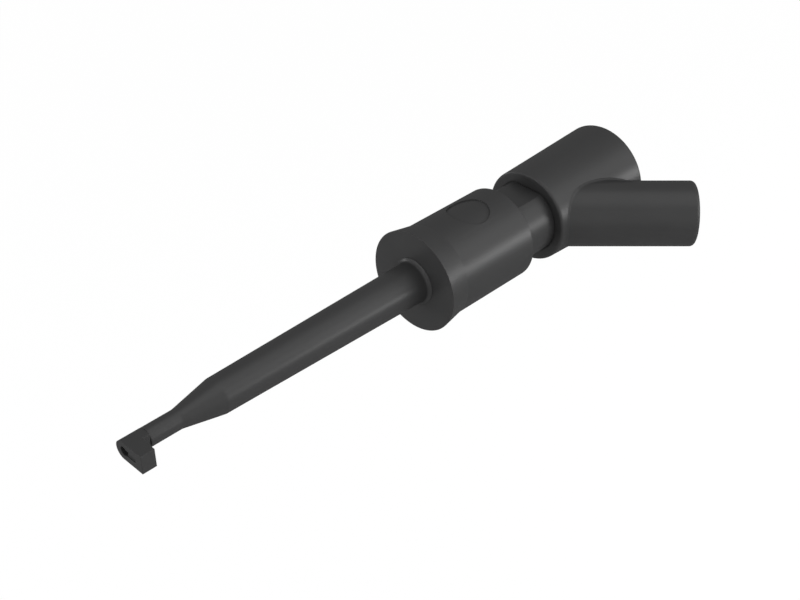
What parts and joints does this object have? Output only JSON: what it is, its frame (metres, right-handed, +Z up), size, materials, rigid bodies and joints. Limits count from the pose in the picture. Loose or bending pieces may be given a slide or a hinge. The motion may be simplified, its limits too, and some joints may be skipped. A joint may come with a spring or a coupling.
{
  "type": "hook clip test probe",
  "caption": "Spring-loaded hook clip test probe with a long shaft, a flanged grip, a thumb plunger and an angled 4 mm socket.",
  "frame": {"origin": "centre of the nose's front face, on the main axis", "axes": "+X along the main axis from the nose to the thumb cap, +Z up; the hook's jaw and the socket branch lie on the -Y side"},
  "size_m": [0.0854, 0.0257, 0.0142],
  "materials": {
    "housing_plastic": "satin moulded polyamide",
    "shaft_plastic": "satin moulded polyamide",
    "washer_steel": "zinc plated",
    "spring_steel": "drawn wire",
    "cap_plastic": "satin moulded polyamide",
    "guide_plastic": "smooth moulded plastic",
    "socket_brass": "turned",
    "collar_plastic": "satin moulded polyamide",
    "ferrule_brass": "turned",
    "rod_steel": "drawn stainless steel",
    "finger_brass": "drawn wire",
    "hook_plastic": "satin moulded polyamide"
  },
  "bodies": {
    "housing": {"barrel": "housing_plastic", "shaft": "shaft_plastic", "spring_washer": "washer_steel", "return_spring": "spring_steel"},
    "plunger": {"thumb_cap": "cap_plastic", "guide_tube": "guide_plastic", "socket_contact": "socket_brass", "socket_collar": "collar_plastic", "rod_ferrule": "ferrule_brass", "hook_rod": "rod_steel", "hook_finger": "finger_brass", "hook_head": "hook_plastic"}
  },
  "joints": [
    {"name": "plunger_slide", "type": "slide", "parent": "housing", "child": "plunger", "axis": [-1, 0, 0], "range_m": [0, 0.0055], "stiffness_N_per_m": 200, "springref_m": -0.005, "deforming": ["return_spring"]}
  ]
}
